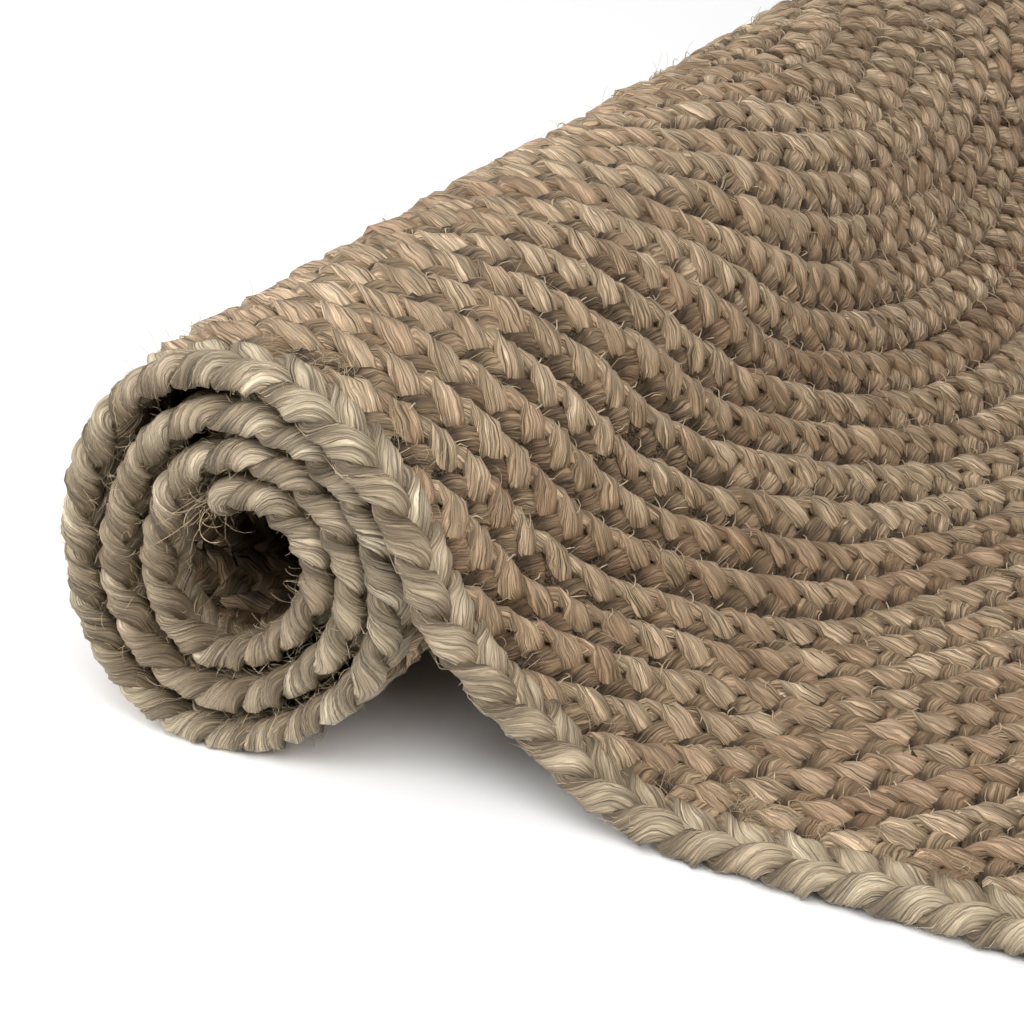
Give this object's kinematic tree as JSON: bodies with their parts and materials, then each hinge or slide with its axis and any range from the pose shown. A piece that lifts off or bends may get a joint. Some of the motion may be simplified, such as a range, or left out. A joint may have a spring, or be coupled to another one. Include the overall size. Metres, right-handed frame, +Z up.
{
  "type": "jute rug",
  "caption": "Braided jute rug, partly rolled: a roll at one end, a slope down from its top, and the rest lying flat.",
  "frame": {"origin": "middle of the rug's footprint as it lies partly rolled, on the floor", "axes": "+X from the roll towards the flat end, +Y along the roll away from its more even end, +Z up"},
  "size_m": [0.5438, 0.6104, 0.1053],
  "materials": {
    "field_braid": "matte natural jute fibre, uneven tan and brown",
    "edge_braid": "matte natural jute fibre, pale khaki"
  },
  "bodies": {
    "root": {"braided_field": "field_braid", "edge_braid": "edge_braid"}
  },
  "joints": []
}
